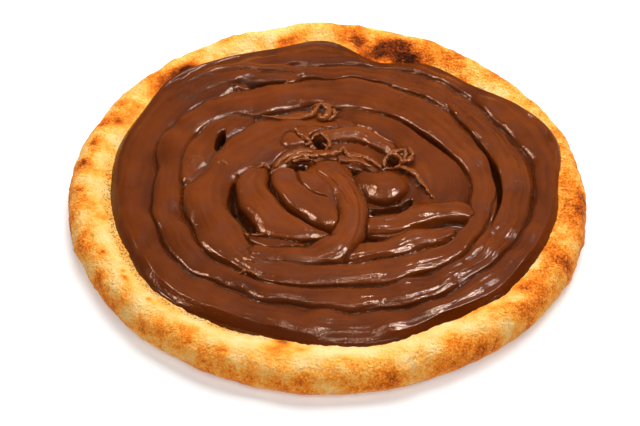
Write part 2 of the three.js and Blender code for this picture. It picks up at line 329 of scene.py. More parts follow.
# smeared dough under the spread, painted darker still as shade in the bared pockets; sooty flour
# beside it, with a painted shade; painted glints; and the pale scuffed foot
smeared_and_shaded = ramp(tree, total(tree, 0.5, patches, grains),
               [(0.3, (0.085, 0.048, 0.010)), (0.7, (0.022, 0.010, 0.003))])
colour = mixed(tree, marked(tree, "smear_and_pocket_shade"), ramp(tree, tone, crust_stops), smeared_and_shaded)
# painted shade: the crust beside the spread's edge is tinted browner, as shade; the specks after it
# are sooty flour
colour = mixed(tree, product(tree, soot_and_edge_shade_mask, 0.4), colour, (0.60, 0.30, 0.05, 1))
soot = total(tree, unevenness(tree, place, 0.6, 1.0, 1), product(tree, soot_and_edge_shade_mask, 0.26))
colour = mixed(tree, ranged(tree, soot, 0.22, 0.36, 0.85), colour, (0.24, 0.09, 0.012, 1))
# painted glints: small light specks painted on the crust's grain where light would glint, kept off
# burnt parts
painted_glints = ranged(tree, unevenness(tree, place, 0.5, 1.0, 1), 0.16, 0.26, 0.7)
painted_glints = product(tree, painted_glints, maths(tree, "GREATER_THAN", 0.75, tone))
colour = mixed(tree, painted_glints, colour, (1.0, 0.66, 0.27, 1))
scuffed = product(tree, marked(tree, "foot"), maths(tree, "ADD", 0.5, grains))
colour = mixed(tree, scuffed, colour, (1.0, 0.47, 0.20, 1))
tree.links.new(colour, shader.inputs["Base Color"])
crumbs = total(tree, product(tree, unevenness(tree, place, 0.7, 2.6, 2), toasted),
               unevenness(tree, place, 1.8, 0.8, 2))
bump = node(tree, "ShaderNodeBump", {"Height": crumbs, "Distance": 0.9 * mm, "Strength": 1.0})
tree.links.new(bump.outputs[0], shader.inputs["Normal"])
bread.data.materials.append(crust)
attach(bread, "root")
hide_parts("bread")


# ---- The chocolate spread ----------------------------------------------------------------
# A thick, glossy chocolate spread, laid on with a knife in a spiral. Each pass leaves a band,
# streaked along its length, with a torn crease beside it, and the last ones lie piled up in the
# middle. It is one body, rolled like the bread, as high at each place as the highest band there.
spread_base = 7.0          # height of the spread where no pass lies
spread_least = 6.1         # how low a crease goes
least_thickness = 0.9      # thinner than this, the knife has wiped the bread bare
bedding = 0.4              # how deep the underside is pressed into the dough
wiped_bedding = 0.3        # how deep the top lies in it where the bread is bare
edge_thickness = [2.4, 1.6, 1.3, 1.2, 1.4, 1.6, 2.2, 3.5, 3.4, 1.8, 2.3, 2.8]
edge_round = [1.8, 1.3, 1.2, 1.2, 1.2, 1.4, 2.0, 3.0, 2.9, 2.2, 2.0, 2.2]
edge_square = [1.12, 1.3, 1.35, 1.35, 1.35, 1.35, 1.25, 1.24, 1.26, 1.6, 1.12, 1.08]
edge_blend = 4.5           # how far in the edge's thickness goes over into the passes
crease_width = 0.9         # how wide the gaps between passes are torn
overhang = 0.22            # how far a shoulder bulges over the gap for each unit of slope
wander = 0.35              # how far the passes stray from their lines
waver = 0.2                # how much the hand that presses the knife varies their height
streak_waves = ((3.1, 0.3), (1.9, 1.7), (1.25, 4.1), (0.9, 2.2))    # how far apart, and phase
under_rows = 0.03          # share of the rows of vertices that are on the underside
edge_rows = 0.11           # share of the others that are on the rounded edge
even_radius = 60.0         # the spread's usual radius, at which its rings are evenly spaced
band_list = []


def along(values, share):
    """Smooth value, at shares of its length, of an open row of evenly spaced values."""
    row = np.asarray(values, float)
    last = len(row) - 1
    place = np.clip(share, 0, 1) * last
    start = np.minimum(np.floor(place).astype(int), last - 1)
    f = place - start
    row = np.concatenate([[2 * row[0] - row[1]], row, [2 * row[-1] - row[-2]]])
    a, b, c, d = (row[start + k] for k in (0, 1, 2, 3))
    return b + 0.5 * f * (c - a + f * (2 * a - 5 * b + 4 * c - d + f * (3 * (b - c) + d - a)))


def band(centre, half, crest, drop=3.6, lean=0.0, gap=0.6, streak=0.04, square=2.6, soft=0.05,
         left=1.0, right=1.0):
    """A pass of the knife. The centre line is in millimetres, and the rest are numbers, or rows of
    numbers along it: half width, crest height, how far the sides drop, how far the crest leans to
    the right, how deep the gap to the passes below is torn, how deep its streaks are, how square
    its shoulders are, how softly it melts into what is below, and what share of the drop its
    left and right sides have."""
    length = np.hypot(*np.diff(centre, axis=0).T).sum()
    row = {"half": half, "crest": crest, "drop": drop, "lean": lean, "gap": gap, "streak": streak,
           "square": square, "soft": soft, "left": left, "right": right}
    row = {name: np.atleast_1d(value) for name, value in row.items()}
    row = {name: value.repeat(2) if value.size == 1 else value for name, value in row.items()}
    band_list.append(dict(row, centre=centre, length=length, closed=False))


def pad(points, crest, edge, drop=3.6, gap=0.6, square=2.4, soft=0.05, tilt=(0, 0), streak=0.03):
    """A flat dab inside a closed outline, with rounded edges of a width. It may be tilted, and
    its other rows run round the outline and mean what they mean in band."""
    share = np.arange(6 * len(points)) / (6 * len(points)) * 360
    x, y = (ring_value(row, share) for row in np.asarray(points, float).T)
    outline = np.column_stack([x, y])
    outline = np.vstack([outline, outline[:1]])
    band(outline, edge, crest, drop, 0.0, gap, streak, square, soft)
    band_list[-1].update(closed=True, tilt=tilt, middle=outline.mean(0))


def turn(start, radii, half, crest, **rest):
    """A turn of the spiral, by its radii every 30 degrees from a start angle."""
    steps = 12 * (len(radii) - 1)
    share = np.arange(steps + 1) / steps
    radius = along(radii, share)
    angle = np.radians(start + 30 * (len(radii) - 1) * share)
    band(np.column_stack([radius * np.cos(angle), radius * np.sin(angle)]), half, crest, **rest)


def sweep(points, half, crest, **rest):
    """A free pass through a few points."""
    steps = 8 * (len(points) - 1)
    share = np.arange(steps + 1) / steps
    x, y = np.asarray(points, float).T
    band(np.column_stack([along(x, share), along(y, share)]), half, crest, **rest)


# the smooth shelf inside the first turn
sweep([(6, 28), (14, 24.5), (22, 18), (27.5, 9), (29.5, 0), (28, -6)],
      [4.5, 5.5, 6.5, 8, 9.5, 9], [9.0, 9.2, 9.4, 9.5, 9.3, 8.9], drop=2.2, streak=0.05)
# the first turn of the spiral, which runs on beneath the second
turn(90, [23, 24.5, 26.8, 31.6, 34.8, 36.2, 35.3, 37.6, 42.0, 41.6, 38.4, 38.4, 38.6],
     [4, 5.2, 6.4, 6.4, 5.6, 5.2, 5.2, 4.8, 3.3, 4.0, 6.2, 6.4, 5.5],
     [9.6, 9.8, 10, 10.2, 10.2, 10.1, 10, 9.9, 9.7, 9.9, 10.1, 9.7, 8.0],
     lean=[0, 0, 0.1, 0.2, 0.05, -0.1, -0.2, 0, 0, -0.2, -0.45, -0.4, -0.3],
     left=[1, 1, 0.8, 0.7, 0.6, 0.55, 0.5, 0.5, 0.5, 0.7, 1, 1, 1],
     right=[1, 1, 1, 1, 1, 1, 1, 1, 0.8, 0.5, 0.5, 0.6, 0.7],
     drop=[2.2, 2.2, 2.4, 2.6, 2.8, 2.8, 2.9, 3.0, 3.0, 3.2, 3.8, 3.2, 2.6],
     square=[3, 3, 3.6, 3.0, 2.2, 1.5, 1.8, 2.6, 3.2, 4.6, 9, 10, 8],
     gap=[0.2, 0.2, 0.2, 0.4, 0.5, 0.5, 0.5, 0.5, 0.5, 0.6, 1.3, 0.4, 0.2],
     soft=[0.1] + [0.05] * 9 + [0.1, 0.4, 0.4],
     streak=[0.05, 0.04, 0.03, 0.02, 0.03, 0.06, 0.05, 0.12, 0.16, 0.14, 0.08, 0.02, 0.02])
# the second turn
turn(30, [39.0, 38.4, 38.2, 40, 45.4, 42.6, 44.9, 44.2, 43.3, 46.2, 48.8, 50.4, 48.8, 48.6, 47, 48],
     [6.2, 6.4, 7.0, 6.4, 4.6, 4.6, 4.8, 3.9, 4.3, 5.2, 5.0, 5.2, 4.8, 4.4, 3.2, 3],
     [8.2, 9.7, 9.7, 9.6, 9.6, 9.6, 9.5, 9.4, 9.3, 9.4, 9.6, 9.8, 9.7, 9.5, 9.3, 9.2],
     lean=[-0.3, -0.3, -0.1, 0, 0.1, 0.3, 0.3, 0, -0.3, -0.1, -0.2, -0.5, -0.5, -0.4, -0.3, -0.3],
     left=[1, 1, 1, 0.8, 0.8, 0.75, 0.5, 0.34, 0.30, 0.36, 0.6, 1, 1, 1, 0.8, 0.6],
     right=[0.6, 0.6, 1, 1, 1, 1, 1, 1, 1, 0.9, 0.6, 0.5, 0.5, 0.5, 0.5, 0.7],
     drop=[2.6, 2.6, 2.2, 2.2, 2.4, 2.4, 3.0, 3.6, 3.6, 3.2, 3.2, 3.6, 3.6, 3.2, 2.8, 2.6],
     square=[8, 8, 4, 3, 3.6, 3.6, 3.2, 2.0, 2.0, 3.0, 5.0, 9, 9, 7, 4.0, 2.4],
     gap=[0, 0, 0.1, 0.3, 0.7, 0.8, 0.8, 0.8, 0.8, 0.7, 1.0, 1.3, 0.9, 0.7, 0.6, 0.5],
     soft=[0.4, 0.4, 0.1] + [0.05] * 13,
     streak=[0.02, 0.02, 0.05, 0.05, 0.03, 0.02, 0.03, 0.05, 0.10, 0.20, 0.24, 0.22, 0.18, 0.14,
             0.10, 0.06])
sweep([(-10, 45), (-18, 44.8), (-26, 45.2), (-34, 43.8), (-40, 38)],
      [3.2, 4.2, 4.4, 4.4, 4.6], [10, 10, 9.8, 9.5, 9.3], lean=-0.4,
      drop=[3.4, 3.4, 2.6, 1.2, 0.7], gap=[0.8, 1.6, 1.4, 0.6, 0.3], streak=0.08)
# the outer turn, and a thin ridge along its back
turn(120, [54.5, 54.9, 52.6, 53.8, 52.7, 52.5, 54.3, 56.4, 59.4, 58.8, 57.4, 56.2, 55.5],
     [6.4, 6.2, 6.6, 5.4, 5.8, 6.2, 4.4, 5.0, 4.4, 5.4, 4.8, 5.6, 4.8],
     [9.3, 9.3, 9.3, 9.7, 9.7, 9.3, 9.3, 9.5, 9.6, 9.7, 9.6, 9.4, 9.3],
     lean=[0.3, 0.3, 0.3, 0.3, 0.3, 0.3, 0.3, 0.3, 0.2, 0.2, 0.2, 0.3, 0.3],
     left=[0.8, 0.8, 0.8, 0.7, 0.45, 0.36, 0.36, 0.4, 0.4, 0.35, 0.4, 0.5, 0.7],
     right=[1, 1, 1, 1, 1, 1, 1, 0.6, 0.3, 0.2, 0.3, 0.7, 0.9],
     drop=[1.3, 1.5, 2.2, 2.4, 2.6, 3.2, 3.4, 3.4, 3.2, 3.2, 3.2, 3.0, 2.8],
     square=[3.2] * 7 + [3.6, 6, 7, 7, 5, 3.2],
     gap=[0.4, 0.5, 0.8, 0.8, 0.7, 0.7, 0.7, 0.8, 0.9, 0.9, 0.7, 0.5, 0.4],
     streak=[0.06, 0.03, 0.02, 0.02, 0.03, 0.07, 0.12, 0.12, 0.08, 0.05, 0.06, 0.10, 0.08])
sweep([(-41.9, 41.3), (-37.8, 45.1), (-33.6, 46.9), (-29.4, 48.1), (-23.6, 48.5), (-17.9, 48.5),
       (-13.0, 47.2), (-7.0, 46.0)],
      [1.2, 1.4, 1.5, 1.5, 1.5, 1.5, 1.6, 1.6], [9.3, 9.6, 10.0, 10.2, 10.3, 10.3, 10.2, 9.9],
      drop=1.2, gap=0.2, lean=0.1, square=2.0, soft=0.3)
# the lobe left between the first and the second turn, and its blunt front
pad([(-20, 27), (-27, 29), (-33, 25), (-38.6, 16.6), (-42.0, 8.2), (-41.4, 2.8), (-38.6, -1.2),
     (-34.0, -1.4), (-30.4, 3.6), (-27, 13), (-22, 20)],
    10.1, 3.2, 3.2, gap=0.6, soft=0.15, square=2, tilt=(0, -0.02))
pad([(-39.6, 4.4), (-38.4, 7.4), (-35.4, 8.4), (-32.4, 7.0), (-31.8, 4.4), (-33.6, 2.0),
     (-37.0, 1.0)],
    10.0, 1.6, 1.6, gap=0.1, soft=0.8, square=2, tilt=(-0.16, 0.42))
# the smooth ground behind the middle
sweep([(-25, 6), (-21, 12), (-14, 17), (-6, 20), (2, 21)],
      [4, 7, 8.5, 8, 6], [9.5, 9.6, 9.7, 9.7, 9.4],
      drop=[1.6, 1.2, 0.9, 0.9, 1.2], gap=-0.3, streak=0.01, square=2.6, soft=0.8)
# the crumpled ledge in front of the hook
sweep([(-19.5, -20.6), (-15.1, -23.0), (-12.5, -23.7), (-9.9, -24.4), (-7.3, -25.2), (-3.4, -26.0),
       (0.4, -26.2)],
      [1.6, 2.0, 2.2, 2.2, 2.2, 2.0, 1.6], [8.6, 9.1, 9.3, 9.3, 9.3, 9.2, 9.0],
      drop=1.4, gap=0.2, streak=0.2, soft=0.5, square=2)
# the hook
pad([(-22.2, 4.6), (-19.5, 7), (-16.4, 6.6), (-15.2, 2), (-15.5, -3.2), (-12, -9.4), (-6.1, -15.1),
     (1.2, -20), (3, -22), (-2, -22.4), (-8, -22.6), (-14, -21.4), (-19.4, -18.4), (-22.8, -13.6),
     (-24.6, -8), (-24.6, -1.4)],
    10.5, [3, 3, 3, 3, 3, 3, 3, 4, 4.6, 5, 5.4, 5.6, 5.2, 3.6, 2.6, 2.6, 3],
    [2.2, 1.8, 3.0, 4.6, 4.6, 4.6, 4, 3, 2.2, 1.9, 1.9, 2.0, 2.6, 4, 4.6, 4.4, 2.2],
    gap=[0.2, 0.1, 0.3, 0.8, 0.8, 0.8, 0.8, 0.8, 0.6, 0.5, 0.5, 0.5, 0.8, 0.8, 0.8, 0.8, 0.2],
    soft=[0.8, 1.0, 0.5] + [0.05] * 12 + [0.2, 0.8], square=2)
# the heart
pad([(-15.2, 1.8), (-14, 3.8), (-12, 4.6), (-9, 4.4), (-5, 3), (0, 0), (4, -8), (4, -15),
     (1.7, -19.3), (-2.8, -17.1), (-6.1, -14.9), (-9.4, -12.1), (-12.2, -8.6), (-14.6, -3.4)],
    10.5, [1.8, 1.8, 2, 2, 2, 2, 2, 2, 4, 4.2, 4, 3, 2, 1.8, 1.8], 3.2, gap=1.3, square=2.1,
    tilt=(-0.03, 0.02))
# the round bump on the right
pad([(7.0, -1), (8, 4), (12, 6), (18, 5.4), (21.8, 2.2), (22.4, -1.8), (21, -4.8), (17.6, -7.4),
     (13.4, -7.6), (9.6, -5.8)],
    10.4, 6.2, 4.2, gap=[0, 0, 0, 0, 0, 0.2, 0.3, 0.3, 0.3, 0.1, 0], square=1.9,
    soft=[2.6, 3, 3, 3, 2.4, 1, 0.4, 0.3, 0.3, 1, 2.6])
# the two short ridges in front of it
sweep([(5, -15.6), (9.6, -16.6), (13.8, -16.9), (17.6, -15.8), (21.6, -14.1), (26.0, -12.5),
       (30.3, -11.8), (34.4, -11.6), (37.4, -11.6)],
      [4.0, 4.4, 4.8, 4.8, 4.5, 4.2, 4.0, 3.6, 3.0],
      [9.4, 9.7, 10, 10.2, 10.2, 10.1, 10.1, 9.9, 9.6],
      lean=0.15, gap=[1, 1, 0.8, 0.4, 0.2, 0.1, 0.1, 0.1, 0.1], left=[1, 1, 0.9, 0.55, 0.4, 0.4],
      streak=0.2, soft=[0.05, 0.3, 1.0, 1.4], square=1.7)
sweep([(2, -26.4), (6.2, -26.9), (10.3, -26.7), (14.3, -26.0), (19, -24.1), (23.4, -22.3),
       (27.5, -20.8), (30.4, -20.3)],
      [4.0, 4.2, 4.3, 4.2, 4.5, 4.4, 4.1, 3.0], [9.4, 9.8, 10.1, 10.2, 10.3, 10.3, 10.2, 10],
      lean=0.15, gap=[1.4, 1.4, 1.2, 0.8, 0.5, 0.4, 0.3, 0.3], left=[1, 1, 0.8, 0.7, 0.7],
      streak=0.22, soft=[0.05, 0.1, 0.4, 0.6], square=1.65)
# the collar round the heart, and the loop it ends in
sweep([(0.4, 2.6), (2.2, -1.8), (4.4, -6.6), (6.0, -11.8), (6.3, -17.3), (4.0, -23.4),
       (-0.4, -27.7), (-5.5, -29.4), (-11.7, -29.1), (-17.9, -27.9), (-22.7, -26.8)],
      [6.8, 6.2, 5.2, 4.7, 4.6, 4.5, 4.5, 4.2, 4.0, 3.8, 2.9],
      [10.5, 10.7, 11.0, 11.2, 11.2, 11.1, 10.8, 10.5, 10.2, 10, 9.8],
      drop=[2.6, 3.2, 4.2, 4.4, 4.4, 4.4, 4.4, 4.0, 3.6, 3.4, 3.4],
      gap=[0, 0, 0.4, 0.9, 1.0, 1.0, 0.9, 0.7, 0.5, 0.4, 0.3],
      soft=[1.2, 1.0, 0.3] + [0.05] * 8,
      right=[1, 1, 1, 1, 1, 0.8, 0.5, 0.35, 0.3, 0.3, 0.3], streak=0.1,
      square=[2.0] * 6 + [1.7, 1.6, 1.55, 1.5, 1.5])
# the two arches behind the bump
sweep([(-1, 13.8), (2, 14.4), (5.5, 14.4), (9.5, 13.2), (13, 10.6), (14.6, 8)],
      [2.4, 3.2, 3.4, 3.4, 3, 2.4], [8.8, 9.0, 9.1, 9.0, 8.9, 8.6], drop=1.6, gap=-0.3)
sweep([(-3.4, 18.4), (0, 19.3), (4.4, 19.4), (9, 18.0), (13.4, 15.8), (16.9, 13.0), (18.6, 9.6)],
      [2.4, 3.2, 3.6, 3.4, 3.0, 2.4, 1.6], [10.6, 11.1, 11.3, 11.2, 11.0, 10.6, 10.0],
      drop=4.4, gap=1.4, right=0.5, square=1.5, streak=0.14)
# the crumpled ridge behind the heart, and the fan of fine streaks it runs out in
sweep([(-14.9, 4.6), (-12.9, 6.7), (-11, 8.9), (-8.3, 10.2), (-5.5, 9.9), (-3.5, 9.2), (0.5, 9.2),
       (3.3, 9.8)],
      [1.6, 2.4, 3.2, 3.8, 3.8, 3.2, 2.4, 1.8], [9.8, 10.1, 10.2, 10.3, 10.3, 10.3, 10.4, 10.5],
      drop=2, gap=0.3, streak=0.24, soft=0.3, square=2)
sweep([(2.6, 9.8), (5.6, 8.9), (8.8, 7.2), (11.6, 5.4), (14, 3.6)], [1.8, 3.0, 3.2, 2.6, 1.2],
      [10.5, 10.2, 10.0, 9.8, 9.3], drop=1.6, gap=0.2, streak=0.3, soft=0.4, square=2)
# the small dome in front of the smooth ground
pad([(-14.1, 15.7), (-13.1, 18.8), (-11.1, 20.3), (-8.3, 19.9), (-6.3, 17.3), (-4.9, 14.7),
     (-7.6, 13.0), (-11.7, 13.0)], 11.0, 3.4, 2.6, gap=0.3, square=1.9, soft=0.5)

cut_list = []


def cut(points, width, depth, bottom=(spread_least,)):
    """A slot torn open through a few points, with rows along it of half widths, depths and how
    low it may reach: under 5.9 it bares the bread."""
    steps = 6 * (len(points) - 1)
    share = np.arange(steps + 1) / steps
    x, y = np.asarray(points, float).T
    line = np.column_stack([along(x, share), along(y, share)])
    cut_list.append((line, width, depth, (*bottom, bottom[-1])))


cut([(13.5, 29.0), (18.5, 26.1), (23.2, 22.1), (27.0, 18.0), (30.6, 13.7), (33.7, 9.6),
     (36.7, 5.1), (38.3, 0.5)],
    [0.2, 0.3, 0.55, 0.75, 0.7, 0.45, 0.35, 0.3], [0.3, 1.0, 3, 5, 4, 2.0, 1.0, 0.5])
cut([(33.4, 30.9), (38.5, 21.1), (43.1, 11.1), (45.4, 1.4), (45.2, -8.3), (42.2, -17.8)],
    [0.3, 0.4, 0.6, 0.9, 0.7, 0.35], [0.6, 1.6, 3.4, 5, 3, 0.8])
cut([(-28.6, 19.4), (-29.1, 18.1), (-29.6, 15.6), (-30.3, 12.8)],
    [0.7, 1.1, 1.2, 0.8], [3, 5, 5, 3], [6.1, 4, 5, 6.1])
cut([(-29.1, 41.6), (-24.9, 41.2), (-21.4, 40.6), (-18.3, 40.5), (-14.9, 41.2), (-12.1, 41.8)],
    [0.3, 0.4, 0.6, 0.8, 0.7, 0.5], [0.3, 1.0, 4, 4.4, 4.4, 1.5], [6.1, 6.1, 4.4, 4.4, 6.1, 6.1])
cut([(11.5, -9.2), (14, -10.4), (17, -10.5), (20, -9.2), (21.8, -6.6)], [0.8, 1.5, 1.8, 1.4, 0.6],
    [4, 5, 5, 4.5, 3], [6.1, 4, 4, 4.4, 6.1])
cut([(-25.2, -0.5), (-25.6, -6), (-24.8, -10.5), (-22.6, -14.6), (-19.4, -17.6)],
    [0.5, 0.8, 1.0, 1.0, 0.7], [2, 4, 5, 5, 4], [6.1, 6.1, 6.1, 5.4, 4.6])
cut([(-3.2, 15.4), (-1.8, 14)], [1.1, 1.1], [2.8, 2.4])
cut([(-17.2, 6.8), (-15.2, 5.2)], [0.7, 0.5], [3.2, 2])
# folds: in the heart, along the collar, and three at the end of its loop
cut([(-9.6, 4.4), (-8.6, 2.6), (-7.8, -0.5), (-5.9, -3.6), (-3.2, -5.6), (-0.6, -6.8)],
    [0.5, 0.6, 0.6, 0.5, 0.5, 0.4], [0.5, 0.9, 0.9, 0.8, 0.9, 1.2])
cut([(-0.6, 5.2), (3.2, 2.4), (6.3, -3.5), (7.8, -9.4), (8.2, -17.0), (6.4, -23.6)],
    [0.3, 0.35, 0.35, 0.35, 0.35, 0.3], [0.2, 0.45, 0.5, 0.55, 0.5, 0.2])
cut([(-3.0, 3.0), (0.6, -0.6), (3.4, -5.6), (5.0, -11.2)],
    [0.3, 0.3, 0.3, 0.3], [0.1, 0.3, 0.35, 0.15])
for fold in ([(-22.6, -27.6), (-20.0, -29.8), (-16.9, -31.2), (-12.4, -31.9)],
             [(-22.1, -29.8), (-19.5, -31.6), (-15.9, -32.6)],
             [(-23.2, -26.5), (-20.6, -27.6), (-15.5, -28.6)]):
    cut(fold, [0.35, 0.4, 0.3], [0.4, 0.6, 0.2])

draw = np.random.default_rng(7)


def wave_set(count, shortest, longest):
    """Random waves, as wave numbers in x and y and a phase."""
    length = np.exp(draw.uniform(np.log(shortest), np.log(longest), count))
    heading = draw.uniform(0, 2 * np.pi, count)
    number = 2 * np.pi / length
    return np.column_stack([number * np.cos(heading), number * np.sin(heading),
                            draw.uniform(0, 2 * np.pi, count)])


def swell(waves, x, y):
    """Sum of random waves, about one high."""
    return sum(np.sin(a * x + b * y + c) for a, b, c in waves) / math.sqrt(len(waves) / 2)


drift_x, drift_y, hand = wave_set(9, 9, 30), wave_set(9, 9, 30), wave_set(14, 7, 20)


def nearest(x, y, centre):
    """Distance to a centre line, plus on its right, and the share of it passed there."""
    least = np.full(x.shape, np.inf)
    side = np.zeros(x.shape)
    share = np.zeros(x.shape)
    steps = len(centre) - 1
    for i, ((ax, ay), (bx, by)) in enumerate(zip(centre, centre[1:])):
        dx, dy = bx - ax, by - ay
        f = np.clip(((x - ax) * dx + (y - ay) * dy) / (dx * dx + dy * dy), 0, 1)
        away = np.hypot(x - ax - f * dx, y - ay - f * dy)
        closer = away < least
        least = np.where(closer, away, least)
        side = np.where(closer, np.sign((x - ax) * dy - (y - ay) * dx), side)
        share = np.where(closer, (i + f) / steps, share)
    return least * side, share


def within(x, y, outline):
    """Whether places lie inside a closed outline."""
    inside = np.zeros(x.shape, bool)
    for (ax, ay), (bx, by) in zip(outline, outline[1:]):
        if ay != by:
            inside ^= ((ay > y) != (by > y)) & (x < ax + (bx - ax) * (y - ay) / (by - ay))
    return inside


def spread_top(x, y):
    """Height of the spread, how dark it is painted as shade where it lies shut in a crease or a
    cut, and for its streaks the distance across the band on top, the distance along it, the band's
    number and how streaky it is."""
    wx = x + wander * swell(drift_x, x, y)
    wy = y + wander * swell(drift_y, x, y)
    z = np.full(x.shape, spread_base)
    below = np.full(x.shape, -99.0)
    torn = np.zeros(x.shape)
    none = np.zeros(x.shape)
    grain = np.column_stack([np.hypot(x, y), np.arctan2(y, x) * 20, none, none])
    for number, b in enumerate(band_list, 1):
        reach = 1.4 * max(b["half"]) + 0.5
        (x0, y0), (x1, y1) = b["centre"].min(0) - reach, b["centre"].max(0) + reach
        near = (wx > x0) & (wx < x1) & (wy > y0) & (wy < y1)
        away, share = nearest(wx[near], wy[near], b["centre"])
        half, crest, drop, lean, gap, streak, square, soft, left, right = (
            along(b[name], share) for name in ("half", "crest", "drop", "lean", "gap", "streak",
                                               "square", "soft", "left", "right"))
        run = share * b["length"]
        u = away / half
        if b["closed"]:
            inside = within(wx[near], wy[near], b["centre"])
            u = np.where(inside, 1 - np.minimum(np.abs(u), 1), 2)
            crest = (crest + (wx[near] - b["middle"][0]) * b["tilt"][0]
                     + (wy[near] - b["middle"][1]) * b["tilt"][1])
        # both sides fall steeply at the shoulder, and a side that the crest leans away from
        # runs out gently instead
        side = np.where(u > lean, (u - lean) / (1 - lean), (lean - u) / (1 + lean))
        long_side = np.clip(np.where(u > lean, -lean, lean) / 0.25, 0, 1)
        steep = 1 - np.sqrt(1 - np.minimum(side, 1) ** square)
        gentle = np.minimum(side, 1.15) ** 3.6
        fall = (steep + (gentle - steep) * long_side) * np.where(u > lean, right, left)
        lines = sum(np.sin(2 * np.pi * away / spacing + phase * number
                           + 1.3 * np.sin(run / 4 / order)) / (order + 1.2)
                    for order, (spacing, phase) in enumerate(streak_waves, 1))
        top = crest - drop * fall + streak * lines
        top = np.where(side < 1 + 0.3 * long_side, top, -99)
        under = z[near]
        on_top = top > under
        grain[np.flatnonzero(near)[on_top]] = np.column_stack(
            [away, run, np.full(away.shape, number * 7), streak])[on_top]
        second = np.minimum(top, under)
        closer = second > below[near]
        torn[near] = np.where(closer, gap, torn[near])
        below[near] = np.where(closer, second, below[near])
        melt = np.maximum(soft - np.abs(top - under), 0)
        z[near] = np.maximum(top, under) + melt * melt / (4 * soft)
    shut = np.exp(-(z - below) / crease_width)
    z = np.maximum(z + waver * swell(hand, x, y) - torn * shut, spread_least)
    # how dark the creases are painted as shade, where a torn gap lies shut in
    crease_shade = np.clip(torn, 0, 2) / 2 * shut ** 1.5
    for line, width, depth, bottom in cut_list:
        near = np.flatnonzero((x > line[:, 0].min() - 3) & (x < line[:, 0].max() + 3)
                              & (y > line[:, 1].min() - 3) & (y < line[:, 1].max() + 3))
        away, share = nearest(x[near], y[near], line)
        dug = along(depth, share)
        open_ = np.exp(-(away / along(width, share)) ** 4)
        z[near] = np.minimum(z[near], np.maximum(z[near] - dug * open_, along(bottom, share)))
        # cuts are painted dark as shade too, the deeper the darker
        crease_shade[near] = np.maximum(crease_shade[near], np.clip(dug / 3, 0, 1) * open_)
    return z, crease_shade, grain


def spread_section(angle, row):
    """The underside from the middle out, then round the edge and over the top to the middle."""
    edge = ring_value(spread_radius, angle)
    rounding = ring_value(edge_round, angle)
    below = np.clip(row / under_rows, 0, 1)
    inward = np.clip((row - under_rows) / (1 - under_rows), 0, 1)
    lip = np.clip(inward / edge_rows, 0, 1) * rounding
    rest = np.clip((inward - edge_rows) / (1 - edge_rows), 0, 1)
    shrink = 1 - rest
    top_radius = ((even_radius - rounding) * shrink + (edge - even_radius) * shrink ** 4
                  + (rounding - lip) * (rest == 0))
    radius = np.maximum(np.where(row <= under_rows, edge * below, top_radius), 0)
    crust_top = well_height(angle, radius)
    z = spread_top(radius * np.cos(np.radians(angle)), radius * np.sin(np.radians(angle)))[0]
    z = np.where(z > crust_top + least_thickness, z, crust_top - wiped_bedding)
    in_from_edge = edge - radius
    f = np.clip(in_from_edge / edge_blend, 0, 1)
    lip_top = crust_top + ring_value(edge_thickness, angle)
    full = np.where(f < 1, lip_top + (z - lip_top) * f * f * (3 - 2 * f), z)
    square = ring_value(edge_square, angle)
    round_in = (1 - (1 - np.clip(in_from_edge / rounding, 0, 1)) ** square) ** (1 / square)
    bottom = crust_top - bedding
    return radius, np.where(row <= under_rows, bottom, bottom + (full - bottom) * round_in)


spread = round_body("sfiha_spread", 470, 200, spread_section)
where = places(spread)
x, y = where[:, 0].copy(), where[:, 1].copy()
crease_shade, grain = spread_top(x, y)[1:]
step = 0.5
slope_x = (spread_top(x + step, y)[0] - spread_top(x - step, y)[0]) / (2 * step)
slope_y = (spread_top(x, y + step)[0] - spread_top(x, y - step)[0]) / (2 * step)
from_edge = ring_value(spread_radius, np.degrees(np.arctan2(y, x))) - np.hypot(x, y)
top_side = np.clip(from_edge / 5 - 0.6, 0, 1) * (where[:, 2] > spread_base)
# the shoulders bulge over the gaps beside them
push = overhang * top_side * np.clip((where[:, 2] - spread_base - 0.5) / 2, 0, 1)
steepness = np.maximum(np.hypot(slope_x, slope_y), 1e-6)
push = push * np.minimum(steepness, 1.6) / steepness
where[:, 0] -= push * slope_x
where[:, 1] -= push * slope_y
spread.data.vertices.foreach_set("co", (where * mm).ravel())
# the painted crease shade, for the material to read
mark(spread, "crease_shade", crease_shade)
across_and_along = spread.data.attributes.new("grain", "FLOAT_VECTOR", "POINT")
across_and_along.data.foreach_set("vector", grain[:, :3].ravel())
mark(spread, "combed", np.clip(6 * grain[:, 3], 0.3, 1) * (0.3 + 0.7 * top_side))


def streaks(tree, flow, spacing, run, detail=1.0):
    """Noise drawn out along the passes, its streaks spacing apart and as long as run."""
    drawn = node(tree, "ShaderNodeMapping", {"Vector": flow, "Scale": (1 / spacing, 1 / run, 1)})
    settings = {"Vector": drawn.outputs[0], "Scale": 1.0, "Detail": detail}
    return node(tree, "ShaderNodeTexNoise", settings).outputs["Fac"]


chocolate, tree, shader = material("chocolate_spread", IOR=1.46)
place = node(tree, "ShaderNodeTexCoord").outputs["Object"]
flow = node(tree, "ShaderNodeAttribute", attribute_name="grain").outputs["Vector"]
height = node(tree, "ShaderNodeSeparateXYZ", {0: place}).outputs["Z"]
